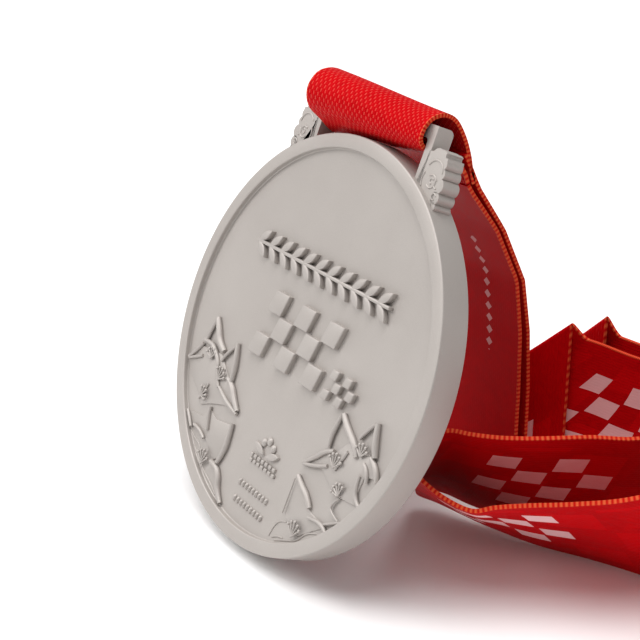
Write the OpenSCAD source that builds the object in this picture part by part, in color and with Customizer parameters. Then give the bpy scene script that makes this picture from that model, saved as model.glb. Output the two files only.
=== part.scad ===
// Finisher medal: a cast disc with two cloud-shaped ears, a ribbon bar and a satin neck ribbon.
// Frame: +X right, +Z up, front towards -Y. Origin: middle of the disc's back face.

/* [Medal] */
// Outer diameter of the disc
disc_d = 80; // [70:1:100]
// Thickness of the disc at its rim
disc_t = 6; // [5:0.5:8]
// Width of the raised rim
rim_w = 2.8; // [2:0.2:4]
// Depth of the front field below the rim
field_depth = 1.1; // [0.6:0.1:1.6]
// Depth of the ring groove in the back face
groove_depth = 0.5; // [0.2:0.1:0.8]
// Width of the ring groove in the back face
groove_w = 1.2; // [0.8:0.2:2]
// Bevel on the outer edges of the rim
edge_bevel = 0.3; // [0.1:0.1:0.5]
// Angle at which the medal leans back
lean = 22.6; // [0:0.2:30]

/* [Ears and bar] */
// Clear width between the ears
slot_w = 32.2; // [30:0.2:34]
// Height of the bar's top above the disc's centre
bar_top = 46.2; // [46:0.1:50]
// Height of the bar
bar_h = 2.5; // [2:0.1:3]
// Setback of the ears and bar from the rim plane, front and back
ear_inset = 1.1; // [0.5:0.1:1.5]
// Width of each upright beside the slot
post_w = 1.7; // [1.4:0.1:2.4]

/* [Ribbon] */
// Width of the ribbon
ribbon_w = 31.5; // [28:0.5:31.5]
// Thickness of one layer of ribbon
ribbon_t = 0.8; // [0.6:0.1:1]
// Radius of the loop round the bar, to the middle of the cloth
loop_r = 3.8; // [3.5:0.1:3.9]

/* [Hidden] */
$fn = 96;

metal = [0.74, 0.72, 0.70];
red = [0.78, 0.07, 0.08];
thread = [0.88, 0.42, 0.30];

disc_r = disc_d / 2;
field_r = disc_r - rim_w;
field_y = field_depth;
bar_mid_z = bar_top - bar_h / 2;
ear_t = disc_t - 2 * ear_inset;
post_in = slot_w / 2;
post_out = post_in + post_w;
ground = -disc_r * cos(lean);

// ---------------------------------------------------------------- frames

// Puts what is drawn upright, front rim at y = 0, into the leaning frame
module lean_back() {
    rotate([-lean, 0, 0]) translate([0, -disc_t, 0]) children();
}

// Draws a flat outline (x, height) as a slab from depth y forwards by rise
module slab(y, rise) {
    translate([0, y, 0]) rotate([90, 0, 0]) linear_extrude(rise) children();
}

// A raised figure on the front field
module raised(rise = field_depth) {
    slab(field_y, rise) children();
}

// ---------------------------------------------------------------- disc

module medal_disc() {
    groove_r = field_r - groove_w;
    color(metal) lean_back() translate([0, disc_t, 0]) rotate([90, 0, 0]) rotate_extrude()
        polygon([[0, 0], [groove_r, 0], [groove_r, groove_depth], [field_r, groove_depth],
                 [field_r, 0], [disc_r - edge_bevel, 0], [disc_r, edge_bevel],
                 [disc_r, disc_t - field_depth], [0, disc_t - field_depth]]);
}

// Raised ring round the front field, bevelled at its outer edge
module front_rim() {
    color(metal) lean_back() translate([0, field_y, 0]) rotate([90, 0, 0]) rotate_extrude()
        polygon([[field_r, 0], [disc_r, 0], [disc_r, field_depth - edge_bevel],
                 [disc_r - edge_bevel, field_depth], [field_r, field_depth]]);
}

// ---------------------------------------------------------------- ears and bar

// Lobes of the cloud on each ear: distance from the middle, height, radius
cloud = [[20.1, 41.0, 1.75], [21.6, 40.5, 1.8], [22.5, 38.6, 1.2], [22.3, 37.3, 1.4],
         [22.45, 36.1, 1.75], [22.5, 34.3, 1.1], [23.3, 32.5, 1.2]];
cloud_fill = [[16.5, 34], [17.6, 41.8], [20, 42.2], [22, 41], [22.6, 38], [22.5, 34], [23, 31]];
tab_corner = 1.2;

module cloud_outline() {
    for (lobe = cloud) translate([lobe[0], lobe[1]]) circle(lobe[2]);
    polygon(cloud_fill);
}

module disc_cut() {
    translate([0, disc_t + 1, 0]) rotate([90, 0, 0]) cylinder(r = disc_r, h = disc_t + 2);
}

// Upright tab with a rounded top corner at the back
module ear_tab() {
    tab_z = 30;
    difference() {
        translate([post_in, ear_inset, tab_z]) cube([post_w, ear_t, bar_top - tab_z]);
        translate([post_in - 1, disc_t - ear_inset - tab_corner, bar_top - tab_corner])
            difference() {
                cube([post_w + 2, tab_corner + 1, tab_corner + 1]);
                rotate([0, 90, 0]) cylinder(r = tab_corner, h = post_w + 2);
            }
    }
}

module ear() {
    difference() {
        union() {
            ear_tab();
            slab(disc_t - ear_inset, ear_t) intersection() {
                cloud_outline();
                translate([post_in, 30]) square([20, 20]);
            }
        }
        disc_cut();
    }
}

module ear_left() {
    color(metal) lean_back() mirror([1, 0, 0]) ear();
}

module ear_right() {
    color(metal) lean_back() ear();
}

fillet_r = 0.7;

// Small fillet under the bar where it meets an upright
module bar_fillet() {
    difference() {
        translate([post_in - fillet_r, bar_top - bar_h - fillet_r]) square(fillet_r);
        translate([post_in - fillet_r, bar_top - bar_h - fillet_r]) circle(fillet_r);
    }
}

module ribbon_bar() {
    color(metal) lean_back() slab(disc_t - ear_inset, ear_t) {
        translate([-post_in, bar_top - bar_h]) square([slot_w, bar_h]);
        bar_fillet();
        mirror([1, 0]) bar_fillet();
    }
}

curl_h = 0.3;
curl_w = 0.45;

// Raised line along part of a circle: centre, radius, first angle and sweep
module curl(x, z, r, from, sweep) {
    translate([x, z]) rotate(from) difference() {
        circle(r + curl_w / 2);
        circle(r - curl_w / 2);
        if (sweep <= 180) rotate(sweep) translate([-9, 0]) square([18, 9]);
        if (sweep <= 180) translate([-9, -9]) square([18, 9]);
        if (sweep > 180) intersection() {
            translate([-9, -9]) square([18, 9]);
            rotate(sweep) translate([-9, 0]) square([18, 9]);
        }
    }
}

module ear_curls() {
    difference() {
        slab(ear_inset, curl_h) {
            curl(19.8, 38.9, 1.5, 20, 150);
            curl(20.9, 36.9, 1.15, -140, 250);
            curl(20.7, 36.8, 0.45, 60, 230);
            curl(22.3, 34.4, 0.6, 20, 260);
            curl(20.4, 37.2, 2.7, 165, 50);
        }
        disc_cut();
    }
}

module ear_curls_left() {
    color(metal) lean_back() mirror([1, 0, 0]) ear_curls();
}

module ear_curls_right() {
    color(metal) lean_back() ear_curls();
}

// ---------------------------------------------------------------- relief on the front field

// Flat lens with two pointed ends, its length along X
module leaf(length, width) {
    r = (length * length + width * width) / (4 * width);
    intersection() {
        translate([0, width / 2 - r]) circle(r);
        translate([0, r - width / 2]) circle(r);
    }
}

garland_z = 14;
garland_half = 22.5;
garland_pairs = 11;

// Row of leaves in pairs along a stem
module title_garland() {
    pitch = 2 * garland_half / garland_pairs;
    color(metal) lean_back() raised() {
        translate([-garland_half, garland_z - 0.3]) square([2 * garland_half, 0.6]);
        for (i = [0 : garland_pairs - 1], side = [-1, 1])
            translate([-garland_half + (i + 0.55) * pitch, garland_z + side * 1.35])
                rotate(side * 38) leaf(4.4, 1.5);
    }
}

// Slanted chequer of raised cells: columns, rows, cell size
module chequer(cols, rows, cell_w, cell_h) {
    slant = 0.24;
    for (c = [0 : cols - 1], r = [0 : rows - 1])
        if ((c + r) % 2 == 0)
            translate([c * cell_w + r * cell_h * slant, r * cell_h])
                polygon([[0.05, 0.05], [cell_w - 0.05, 0.05],
                         [cell_w + cell_h * slant - 0.05, cell_h - 0.05],
                         [cell_h * slant + 0.05, cell_h - 0.05]]);
}

module centre_checks() {
    color(metal) lean_back() raised() translate([-13.8, -6.4]) chequer(5, 3, 4.7, 4.5);
}

module suffix_checks() {
    color(metal) lean_back() raised() translate([12.2, -6.4]) chequer(4, 3, 2.1, 2.0);
}

// Height of each flower layer above the field
petal_low = 0.75;
petal_high = 1.1;
// Reach of the petals, just inside the rim
petal_limit = field_r - 0.05;
module flower_upper_left() {
    color(metal) lean_back() {
        raised(petal_low) intersection() {
            circle(petal_limit);
            polygon([[-34.5, -15.2], [-30.2, -11], [-22, -9.4], [-22, -11], [-16, -14.2], [-10.3, -18.6],
                     [-15, -18.9], [-18, -20], [-20.5, -20.6], [-24.3, -22.8], [-25, -20.8],
                     [-29, -18.8]]);
        }
        slab(field_y - petal_low, petal_high - petal_low) {
            polygon([[-28.2, -4.4], [-27, -4], [-25, -6.5], [-22.3, -9.5], [-24, -11.5], [-29.8, -9.8]]
                    );
            polygon([[-18.4, -7], [-17.4, -6.2], [-16.5, -9.8], [-15.5, -12.5], [-16.4, -14.4],
                     [-20, -13], [-22, -11.4]]);
            polygon([[-15.6, -14.6], [-13.4, -16.4], [-10.3, -18.6], [-14.5, -18.7], [-19.4, -17]]);
        }
    }
}

module flower_lower_left() {
    color(metal) lean_back() raised(petal_low)
        polygon([[-12, -21], [-10.8, -20.8], [-10.4, -25], [-10.7, -28], [-12, -30], [-14, -30.2],
                 [-18.6, -27.4], [-20, -26.6], [-24.4, -27], [-28, -24.3], [-22, -23.4],
                 [-20.6, -21], [-19.4, -23.4], [-18.4, -25.4]]);
}

module flower_upper_right() {
    color(metal) lean_back() {
        raised(petal_low) intersection() {
            circle(petal_limit);
            polygon([[13.2, -18.8], [17, -15], [19.5, -14], [24, -9.2], [31.2, -10], [34.3, -13.6],
                     [30, -14], [29.6, -17.8], [32.2, -19.6], [26.3, -20], [25, -21.5],
                     [24.4, -20], [17, -18.2]]);
        }
        slab(field_y - petal_low, petal_high - petal_low) {
            polygon([[29.1, -4.2], [30, -4.3], [30.6, -7], [31.3, -9.9], [29, -11.4], [26.2, -9]]);
            polygon([[19.6, -6.2], [22, -8.3], [26, -9.4], [24.6, -11.6], [21.6, -14], [19, -13.2],
                     [18.7, -11]]);
            polygon([[31, -10.1], [33.2, -11], [34.3, -13.6], [30.2, -12.6]]);
        }
    }
}

module flower_lower_right() {
    color(metal) lean_back() raised(petal_low) intersection() {
        circle(petal_limit);
        polygon([[12.9, -21.2], [13.9, -20.8], [18, -23.2], [19.9, -25.4], [25.2, -26.2],
                 [26.4, -27.2], [22, -28.6], [18.6, -31.8], [13, -29.6]]);
    }
}

// Low hills along the bottom of the field
module hill_relief() {
    color(metal) lean_back() raised(0.35) difference() {
        intersection() {
            circle(field_r);
            union() {
                translate([-21, -40]) circle(12);
                translate([-6.5, -46.5]) circle(11.5);
                translate([17, -43]) circle(12.2);
            }
        }
        translate([-3.9, -34.2]) square([9.4, 7]);
        hill_clear();
    }
}

// Room round the lower flowers, so the hills stop at their edges
module hill_clear() {
    polygon([[-30, -20], [-28.4, -24.4], [-24.4, -27.1], [-20, -26.7], [-14, -30.3], [-12, -30.1],
             [-10, -26], [-10, -20]]);
    polygon([[12, -20], [12.8, -29.7], [18.6, -32], [22, -28.7], [26.6, -27.3], [30, -20]]);
}

sprig_x = 2;
sprig_z = -21.6;

// Small sprig of three berries over a chequered base
module sprig_emblem() {
    color(metal) lean_back() raised(0.6) translate([sprig_x, sprig_z]) {
        for (a = [40 : 50 : 140]) rotate(a) translate([2.2, 0]) circle(0.85);
        for (side = [-1, 1]) translate([side * 2.4, 0.1]) rotate(side * 20) leaf(4, 1.3);
        translate([-5, -3.2]) square([10, 0.8]);
    }
}

// Two rows of beads
module bead_rows() {
    color(metal) lean_back() raised(0.5)
        for (row = [0, 1], i = [0 : 8])
            translate([-3 + i * 1.2, -29.6 - row * 3.4]) circle(0.48);
}

// ---------------------------------------------------------------- ribbon

rib_half = ribbon_w / 2;
bar_y = cos(lean) * -disc_t / 2 + sin(lean) * bar_mid_z;
bar_z = sin(lean) * disc_t / 2 + cos(lean) * bar_mid_z;
across = 6;

// Side profile of the two layers of the strap behind the disc: y, z from the bar down
back_line = [[17.92, 44.31], [24.3, 31.2], [30.7, 22.1], [36.2, 11], [38.2, 0], [39, -12],
             [39.2, -25], [39.2, -60]];
front_line = [[20.2, 35.2], [22.4, 31.1], [29, 22.4], [34.6, 11.3], [36.2, 0], [36.6, -12],
              [36.6, -25], [36.6, -60]];

// Route of the neck loop, standing on its edge: x, y, lift of the lower edge, lean in x, lean in y
route = [[30, 57.5, 0, 0, 0], [60, 67, 0, 0, 0], [95, 69, 0, 0, 0], [126, 67.5, 0, 0, 0],
         [134, 62, 0, 0, 0], [126, 56.5, 0, 0, 0], [95, 55.5, 0, 0, 0], [66, 54.5, 0, 1, -2],
         [47, 51, 0, 6, -6.5], [39.7, 46, 0, 9.1, -9.7], [34, 38.5, 1, 10.5, -9.8],
         [28, 32.5, 2, 11.8, -11.5], [22.5, 28, 3, 13.2, -12.5], [17.5, 24.5, 4, 14.5, -12.8],
         [12.5, 22, 5, 16, -13], [9.5, 19, 5.5, 17.5, -14.5], [10.5, 16.5, 5.5, 19, -16],
         [15, 18.5, 5, 20, -17.3], [22.2, 22, 3.5, 19.5, -18], [26.5, 24.7, 2.5, 18.2, -17.4],
         [31.7, 29.1, 0.8, 16.2, -16.9], [38, 33.9, 0, 14.8, -16], [45.4, 37.6, 0, 13.4, -14.2],
         [52, 40.2, 0, 11, -11.5], [66, 45, 0, 4, -5], [95, 47, 0, 0, 0], [124, 46.5, 0, 0, 0],
         [141, 60, 0, 0, 0], [124, 74, 0, 0, 0], [100, 74.9, 0, 0, 0],
         [72, 71.6, 0, 0, 0], [44, 64.6, 0, 0, 0]];

// Smooth curve through a list of points, t counting points
function smooth(p, t) =
    let (n = len(p), i = min(max(floor(t), 0), n - 2), f = t - i,
         a = i > 0 ? p[i - 1] : 2 * p[i] - p[i + 1],
         d = i + 2 < n ? p[i + 2] : 2 * p[i + 1] - p[i])
    (2 * p[i] + (p[i + 1] - a) * f + (2 * a - 5 * p[i] + 4 * p[i + 1] - d) * f * f
     + (3 * p[i] - 3 * p[i + 1] + d - a) * f * f * f) / 2;

// Point on the neck loop at station t, h up its width
function neck_point(t, h) =
    let (s = smooth(route, t), rise = sqrt(ribbon_w * ribbon_w - s[3] * s[3] - s[4] * s[4]))
    [s[0] + s[3] * h / ribbon_w, s[1] + s[4] * h / ribbon_w, ground + s[2] + rise * h / ribbon_w];

function profile_y(line, z) = lookup(-z, [for (p = line) [-p[1], p[0]]]);

// Rolled fold of a strap: profile, roll radius, start and slope of the run that leaves it, its end
back_fold = [back_line, 6, 44.9, 0.42, 30];
front_fold = [front_line, 2.2, 59, 0.127, 44];
fold_mid = ground + rib_half;

function roll_start(fold) = fold_mid + PI * fold[1] / sqrt(2);

// Point of a strap that comes down at height z and, past its fold, runs off to the right
function strap_point(fold, z, w) =
    let (q = (roll_start(fold) - z - w) / sqrt(2), turn = min(max(q / fold[1], 0), PI),
         deg = turn * 180 / PI, rest = max(q, 0) - fold[1] * turn,
         shift = q <= 0 ? 0 : (q - fold[1] * sin(deg) + rest) / sqrt(2),
         x = w + shift, zz = z + shift, mix = (1 - cos(deg)) / 2)
    [x, profile_y(fold[0], zz) * (1 - mix) + (fold[2] + fold[3] * x) * mix, zz];

// Point at row s and place w across: 0 to 1 down to the fold, 1 to 2 round it, 2 to 3 along the run
function strap_row(fold, top, s, w) =
    let (line_z = roll_start(fold) - w, round = sqrt(2) * PI * fold[1],
         z = s <= 1 ? top + (line_z - top) * s
           : s <= 2 ? line_z - round * (s - 1)
           : (line_z - round) * (3 - s) + (fold_mid - fold[4]) * (s - 2))
    strap_point(fold, z, w);

function unit(v) = v / norm(v);

// Closed solid of cloth from a grid of middle points and the unit normals there
module cloth(mid, normals) {
    rows = len(mid);
    cols = len(mid[0]);
    side = rows * cols;
    faces_of = function (a, b, c, d, flip) flip ? [[a, b, c], [a, c, d]] : [[a, c, b], [a, d, c]];
    points = [for (s = [-1, 1], i = [0 : rows - 1], j = [0 : cols - 1])
              mid[i][j] + normals[i][j] * s * ribbon_t / 2];
    sheet = [for (s = [0, 1], i = [0 : rows - 2], j = [0 : cols - 2])
             each faces_of(s * side + i * cols + j, s * side + (i + 1) * cols + j,
                           s * side + (i + 1) * cols + j + 1, s * side + i * cols + j + 1, s == 0)];
    ends = [for (e = [0, 1], j = [0 : cols - 2])
            each faces_of(e * (rows - 1) * cols + j, e * (rows - 1) * cols + j + 1,
                          side + e * (rows - 1) * cols + j + 1, side + e * (rows - 1) * cols + j,
                          e == 0)];
    edges = [for (e = [0, 1], i = [0 : rows - 2])
             each faces_of(i * cols + e * (cols - 1), side + i * cols + e * (cols - 1),
                           side + (i + 1) * cols + e * (cols - 1), (i + 1) * cols + e * (cols - 1),
                           e == 0)];
    polyhedron(points, concat(sheet, ends, edges));
}

// Stretch of the neck loop between two stations
module neck_run(from, to, steps) {
    cols = 2;
    e = 0.01;
    t = [for (i = [0 : steps]) from + (to - from) * i / steps];
    h = [for (j = [0 : cols - 1]) ribbon_w * j / (cols - 1)];
    cloth([for (a = t) [for (b = h) neck_point(a, b)]],
          [for (a = t) [for (b = h) unit(cross(neck_point(a + e, b) - neck_point(a - e, b),
                                               neck_point(a, ribbon_w) - neck_point(a, 0)))]]);
}

// Stretch of a strap between two rows
module strap_run(fold, top, from, to, steps) {
    e = 0.001;
    rows = [for (i = [0 : steps]) from + (to - from) * i / steps];
    w = [for (j = [0 : across]) rib_half - ribbon_w * j / across];
    cloth([for (a = rows) [for (b = w) strap_row(fold, top, a, b)]],
          [for (a = rows) [for (b = w)
            unit(cross(strap_row(fold, top, a + e, b) - strap_row(fold, top, a - e, b),
                       strap_row(fold, top, a, b - e) - strap_row(fold, top, a, b + e)))]]);
}

// Flat stroke along a side profile (y, z), drawn out across the ribbon's width
module across_strip(line, thickness) {
    n = len(line);
    dirs = [for (i = [0 : n - 1]) unit(line[min(i + 1, n - 1)] - line[max(i - 1, 0)])];
    left = [for (i = [0 : n - 1]) line[i] + [-dirs[i][1], dirs[i][0]] * thickness / 2];
    right = [for (i = [n - 1 : -1 : 0]) line[i] - [-dirs[i][1], dirs[i][0]] * thickness / 2];
    translate([-rib_half, 0, 0]) rotate([90, 0, 90]) linear_extrude(ribbon_w)
        polygon(concat(left, right));
}

// Height of the top of each strap layer, and the angles at which the loop leaves the bar's circle
back_top = 38;
front_top = 32.1;
loop_top = 25.9;
loop_end = 262;
loop_steps = 24;

function loop_at(a) = [bar_y, bar_z] + loop_r * [cos(a), sin(a)];

// Cloth round the bar, from the back of the strap over the top to the slot
module ribbon_loop() {
    color(red) across_strip(concat([[profile_y(back_line, back_top), back_top]],
        [for (i = [0 : loop_steps]) loop_at(loop_top + (loop_end - loop_top) * i / loop_steps)]),
        ribbon_t);
}

tail_line = [loop_at(loop_end), [16.8, 38.0], [19.2, 36.9], [21.0, 34.9], [22.3, 32.6]];

// Cloth that comes back through the slot and ends at the seam
module ribbon_tail() {
    color(red) across_strip(tail_line, ribbon_t);
}

module strap_back() {
    color(red) strap_run(back_fold, back_top, 0, 1, 12);
}

module strap_front() {
    color(red) strap_run(front_fold, front_top, 0, 1, 10);
}

module strap_fold_back() {
    color(red) strap_run(back_fold, back_top, 1, 3, 20);
}

module strap_fold_front() {
    color(red) strap_run(front_fold, front_top, 1, 3, 24);
}

stitch_rows = [[23.2, 34.1], [24.1, 32.1]];
stitch_n = 14;

// Two rows of stitches on the outer face of the seam
module seam_stitching() {
    pitch = ribbon_w / stitch_n;
    color(thread)
        for (row = stitch_rows, i = [0 : stitch_n - 1])
            translate([-rib_half + (i + 0.2) * pitch, row[0] + ribbon_t / 2, row[1] + 0.45])
                rotate([-23, 0, 0]) cube([pitch * 0.6, 0.35, 0.35]);
}

module neck_run_inner() {
    color(red) neck_run(0, 3, 12);
}

module neck_turn_inner() {
    color(red) neck_run(3, 5, 10);
}

module neck_run_middle() {
    color(red) neck_run(5, 13, 24);
}

module neck_turn_left() {
    color(red) neck_run(13, 18, 20);
}

module neck_run_near() {
    color(red) neck_run(18, 26, 24);
}

module neck_turn_outer() {
    color(red) neck_run(26, 28, 12);
}

module neck_run_outer() {
    color(red) neck_run(28, 31, 12);
}

medal_disc();
front_rim();
ear_left();
ear_right();
ribbon_bar();
ear_curls_left();
ear_curls_right();
title_garland();
centre_checks();
suffix_checks();
flower_upper_left();
flower_lower_left();
flower_upper_right();
flower_lower_right();
hill_relief();
sprig_emblem();
bead_rows();
ribbon_loop();
ribbon_tail();
seam_stitching();
strap_front();
strap_back();
strap_fold_front();
strap_fold_back();
neck_run_inner();
neck_turn_inner();
neck_run_middle();
neck_turn_left();
neck_run_near();
neck_turn_outer();
neck_run_outer();
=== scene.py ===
"""Looks of a cast finisher medal on a satin neck ribbon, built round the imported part."""

import logging
import math
from dataclasses import dataclass, field
from enum import Enum
from typing import Callable, Iterable, Sequence

import bpy
import numpy as np
from mathutils import Matrix, Vector


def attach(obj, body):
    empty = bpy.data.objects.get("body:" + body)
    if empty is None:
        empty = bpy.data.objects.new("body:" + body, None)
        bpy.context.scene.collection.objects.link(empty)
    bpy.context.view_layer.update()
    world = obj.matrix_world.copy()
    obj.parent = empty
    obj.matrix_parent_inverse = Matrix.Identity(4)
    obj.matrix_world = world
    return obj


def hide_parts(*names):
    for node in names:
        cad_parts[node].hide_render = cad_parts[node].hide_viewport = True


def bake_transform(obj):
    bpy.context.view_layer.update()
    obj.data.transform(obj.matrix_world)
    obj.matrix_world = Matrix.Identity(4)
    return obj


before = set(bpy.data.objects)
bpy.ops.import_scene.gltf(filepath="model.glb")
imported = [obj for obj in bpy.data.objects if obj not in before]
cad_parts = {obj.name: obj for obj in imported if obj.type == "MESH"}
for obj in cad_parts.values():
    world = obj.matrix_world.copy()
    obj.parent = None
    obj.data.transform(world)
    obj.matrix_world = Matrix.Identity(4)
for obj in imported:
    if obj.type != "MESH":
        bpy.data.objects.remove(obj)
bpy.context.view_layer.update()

LOG = logging.getLogger("medal")
MM = 0.001

DISC_RADIUS = 40.0
DISC_THICKNESS = 6.0
FIELD_RADIUS = 37.2
FIELD_DEPTH = 1.1
LEAN = math.radians(22.6)
GROUND = -DISC_RADIUS * math.cos(LEAN)
UPRIGHT_TO_LEANING = Matrix.Rotation(-LEAN, 4, "X") @ Matrix.Translation((0, -DISC_THICKNESS * MM, 0))

RIBBON_WIDTH = 31.5
HALF_WIDTH = RIBBON_WIDTH / 2
CLOTH = 0.75

Point2 = tuple[float, float]


class Body(Enum):
    """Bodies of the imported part."""

    MEDAL = "medal"
    RIBBON = "ribbon"


class Slot(Enum):
    """Material slots of the record."""

    METAL = "metal"
    RIBBON = "ribbon"
    THREAD = "thread"


# ------------------------------------------------------------------ shader maths


class Sock:
    """A value in a node tree that takes part in plain arithmetic."""

    def __init__(self, tree: "Graph", source: bpy.types.NodeSocket | float) -> None:
        """Keeps the tree and the socket or number it stands for."""
        self.tree = tree
        self.source = source

    def _math(self, operation: str, *others: "Sock | float") -> "Sock":
        """Adds one Math node.

        Args:
            operation: the Math node's operation.
            others: the values after this one.

        Returns:
            The node's result.
        """
        return self.tree.add("ShaderNodeMath", {"operation": operation}, dict(enumerate([self, *others])))

    def __add__(self, other: "Sock | float") -> "Sock":
        """Sum."""
        return self._math("ADD", other)

    def __sub__(self, other: "Sock | float") -> "Sock":
        """Difference."""
        return self._math("SUBTRACT", other)

    def __mul__(self, other: "Sock | float") -> "Sock":
        """Product."""
        return self._math("MULTIPLY", other)

    def __truediv__(self, other: "Sock | float") -> "Sock":
        """Quotient."""
        return self._math("DIVIDE", other)

    def __gt__(self, other: "Sock | float") -> "Sock":
        """1 where this is greater."""
        return self._math("GREATER_THAN", other)

    def __lt__(self, other: "Sock | float") -> "Sock":
        """1 where this is less."""
        return self._math("LESS_THAN", other)

    def __mod__(self, other: "Sock | float") -> "Sock":
        """Remainder that stays positive."""
        return self._math("FLOORED_MODULO", other)

    def floor(self) -> "Sock":
        """Whole part."""
        return self._math("FLOOR")

    def absolute(self) -> "Sock":
        """Size without sign."""
        return self._math("ABSOLUTE")

    def sine(self) -> "Sock":
        """Sine."""
        return self._math("SINE")

    def clamp(self) -> "Sock":
        """Kept between 0 and 1."""
        return self.tree.add("ShaderNodeClamp", {}, {"Value": self})


class Graph:
    """A material's node tree, with short ways to add nodes."""

    def __init__(self, name: str) -> None:
        """Starts an empty material of that name with its surface shader."""
        self.material = bpy.data.materials.new(name)
        self.material.use_nodes = True
        self.nodes = self.material.node_tree.nodes
        self.links = self.material.node_tree.links
        self.nodes.clear()
        self.out = self.nodes.new("ShaderNodeOutputMaterial")
        self.shader = self.nodes.new("ShaderNodeBsdfPrincipled")
        self.links.new(self.shader.outputs[0], self.out.inputs["Surface"])

    def add(self, kind: str, settings: dict, inputs: dict, output: int | str = 0) -> Sock:
        """Adds a node.

        Args:
            kind: the node's type.
            settings: its own settings, set first.
            inputs: values or links by socket name or number.
            output: which output is wanted.

        Returns:
            That output.
        """
        node = self.nodes.new(kind)
        for key, value in settings.items():
            setattr(node, key, value)
        for key, value in inputs.items():
            self.plug(node.inputs[key], value)
        return Sock(self, node.outputs[output])

    def plug(self, socket: bpy.types.NodeSocket, value: object) -> None:
        """Links or sets one socket.

        Args:
            socket: the socket that receives.
            value: a Sock, number, or tuple.
        """
        if isinstance(value, Sock):
            self.links.new(value.source, socket)
        else:
            socket.default_value = value

    def mix(self, share: Sock | float, a: object, b: object) -> Sock:
        """Mixes two colours.

        Args:
            share: 0 gives a and 1 gives b.
            a: first colour.
            b: second colour.

        Returns:
            The mixed colour.
        """
        return self.add("ShaderNodeMix", {"data_type": "RGBA"}, {0: share, 6: a, 7: b}, 2)

    def noise(self, where: Sock, scale: float, detail: float = 3.0) -> Sock:
        """Noise from 0 to 1 at places in metres.

        Args:
            where: the coordinate.
            scale: waves in a metre.
            detail: octaves.

        Returns:
            The noise value.
        """
        return self.add("ShaderNodeTexNoise", {}, {"Vector": where, "Scale": scale, "Detail": detail}, 0)

    def object_place(self) -> Sock:
        """Object coordinates."""
        return self.add("ShaderNodeTexCoord", {}, {}, "Object")

    def cloth_place(self) -> tuple[Sock, Sock]:
        """Millimetres across and along the cloth, from the piece's own map.

        Returns:
            The two values.
        """
        uv = self.add("ShaderNodeUVMap", {"uv_map": "UVMap"}, {}, 0)
        split = self.nodes.new("ShaderNodeSeparateXYZ")
        self.links.new(uv.source, split.inputs[0])
        return Sock(self, split.outputs[0]) * 100.0, Sock(self, split.outputs[1]) * 100.0

    def set(self, **values: object) -> None:
        """Sets the surface shader's sockets, with _ for a space."""
        for key, value in values.items():
            self.plug(self.shader.inputs[key.replace("_", " ")], value)


# ------------------------------------------------------------------ finishes


@dataclass(frozen=True)
class CastMetal:
    """Matt blasted silver-grey plating on a die casting."""

    light: tuple = (0.435, 0.400, 0.374, 1)
    dark: tuple = (0.365, 0.330, 0.305, 1)
    grain: float = 5200.0
    roughness: float = 0.5

    def make(self) -> bpy.types.Material:
        """Builds the material.

        Returns:
            The finished material.
        """
        g = Graph("blasted_plating")
        place = g.object_place()
        fine = g.noise(place, self.grain, 2.0)
        cloud = g.noise(place, 90.0, 4.0)
        tone = (cloud - 0.5) * 0.7 + (fine - 0.5) * 0.8 + 0.5
        g.set(
            Base_Color=g.mix(tone.clamp(), self.dark, self.light),
            Metallic=0.35,
            Roughness=((cloud - 0.5) * 0.12 + (fine - 0.5) * 0.15 + self.roughness).clamp(),
            Normal=g.add(
                "ShaderNodeBump", {}, {"Strength": 0.35, "Distance": 0.00006, "Height": fine}
            ),
        )
        return g.material


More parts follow.
